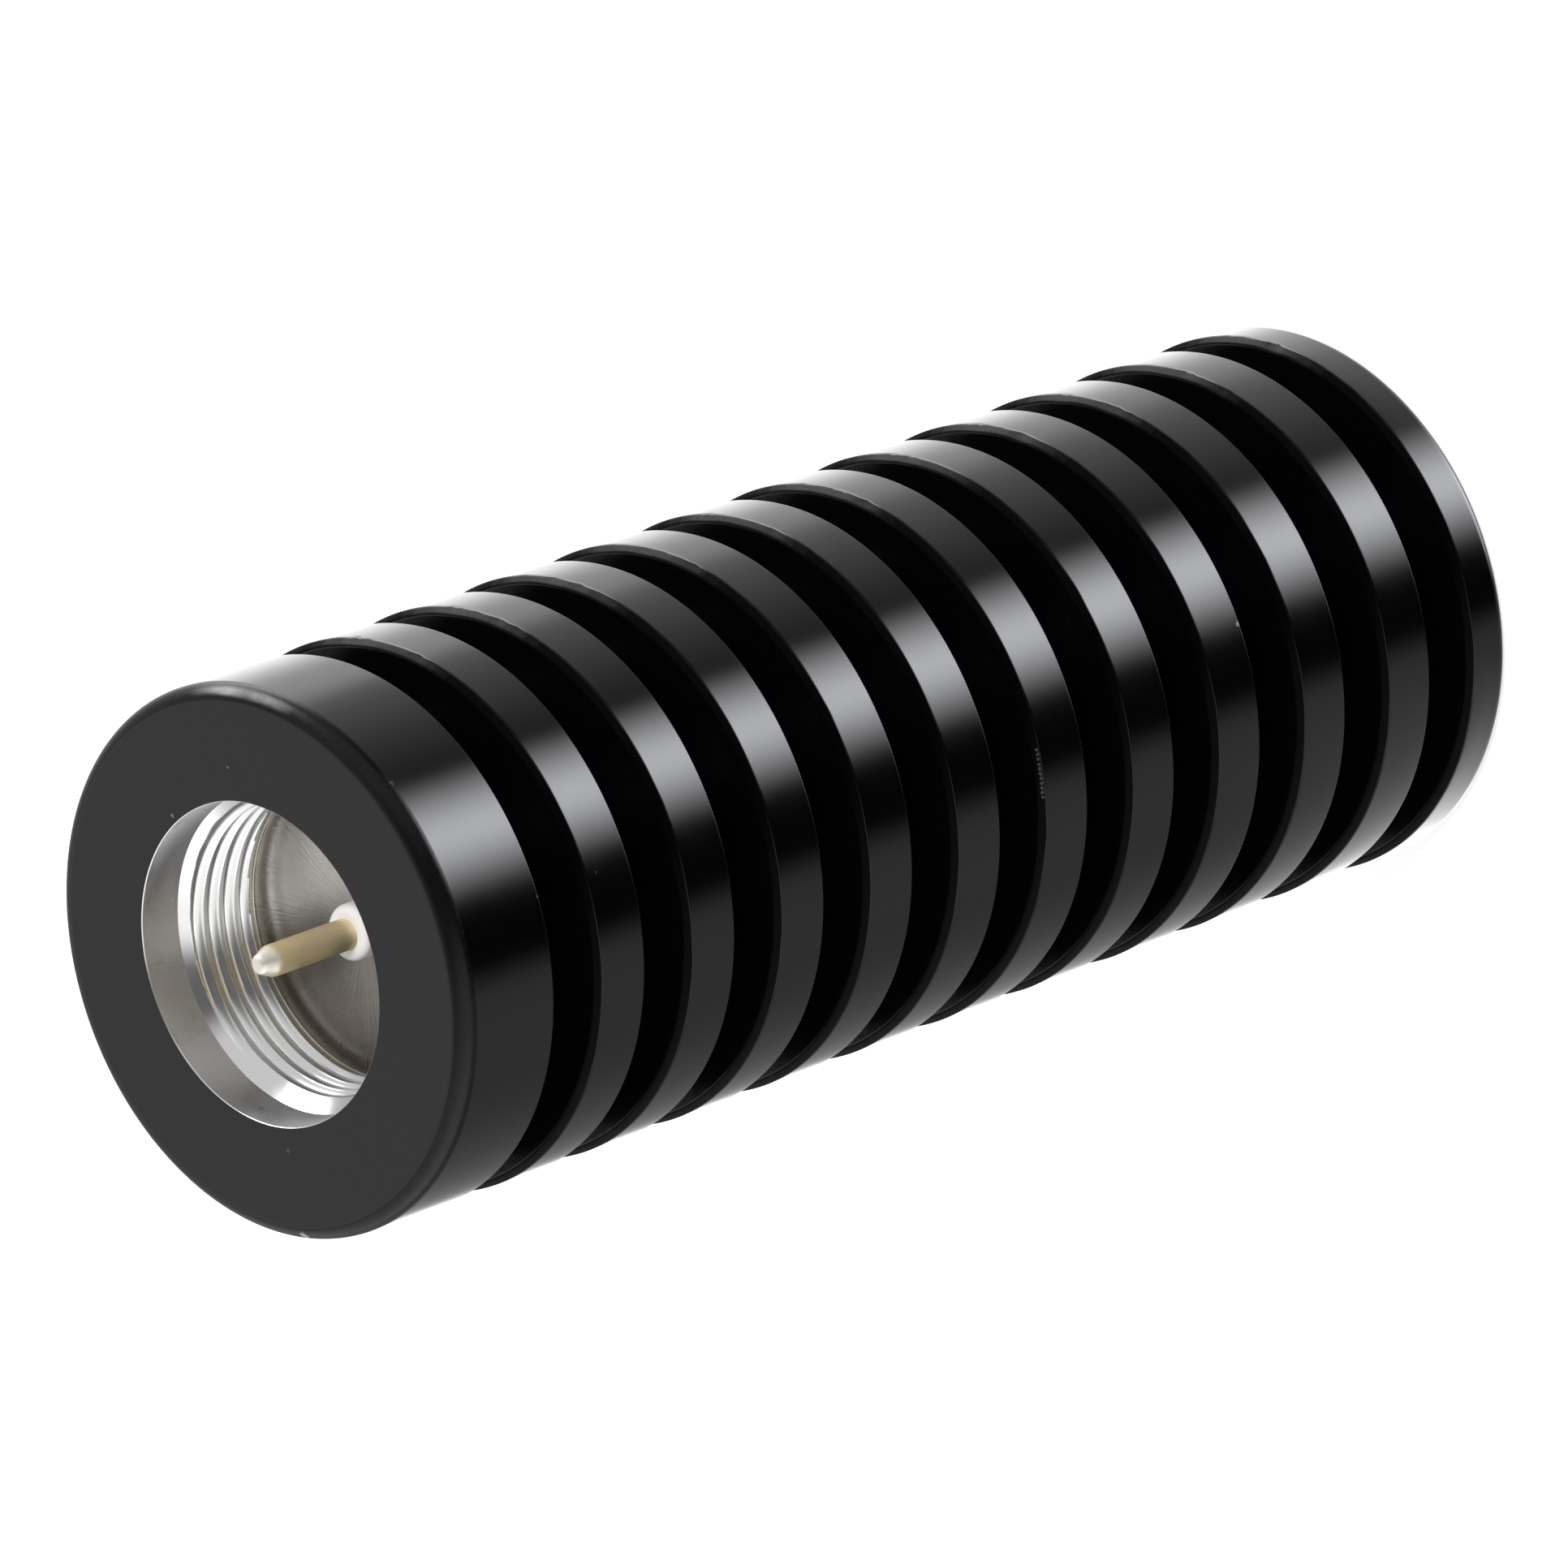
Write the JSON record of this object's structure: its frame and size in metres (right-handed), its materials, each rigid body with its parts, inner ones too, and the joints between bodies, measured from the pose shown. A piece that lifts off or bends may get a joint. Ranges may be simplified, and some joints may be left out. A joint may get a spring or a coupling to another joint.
{
  "type": "rf dummy load",
  "caption": "Round finned coaxial dummy load with a threaded socket and centre pin in its front end and a film load resistor inside.",
  "frame": {"origin": "centre of the closed rear face", "axes": "+Z along the axis, from the closed rear end out of the socket's mouth; X and Y are free because the object is round"},
  "size_m": [0.028, 0.028, 0.0747],
  "materials": {
    "black_anodised_aluminium": "black anodised, satin",
    "bare_aluminium": "fine turned",
    "gold_plated_brass": "plated, satin",
    "plated_brass": "silver plated",
    "spring_bronze": "bright",
    "spring_steel": "bright",
    "white_insulator": "matte, slightly waxy",
    "film_on_ceramic": "matte film on white ceramic"
  },
  "bodies": {
    "root": {"finned_housing": "black_anodised_aluminium", "centre_pin": "gold_plated_brass", "pin_insulator": "white_insulator", "inner_bead": "white_insulator", "front_cap": "plated_brass", "resistor_rod": "film_on_ceramic", "rear_cap": "plated_brass", "return_sleeve": "bare_aluminium", "rear_contact": "spring_bronze", "disc_spring": "spring_steel", "rear_plug": "black_anodised_aluminium"}
  },
  "joints": []
}
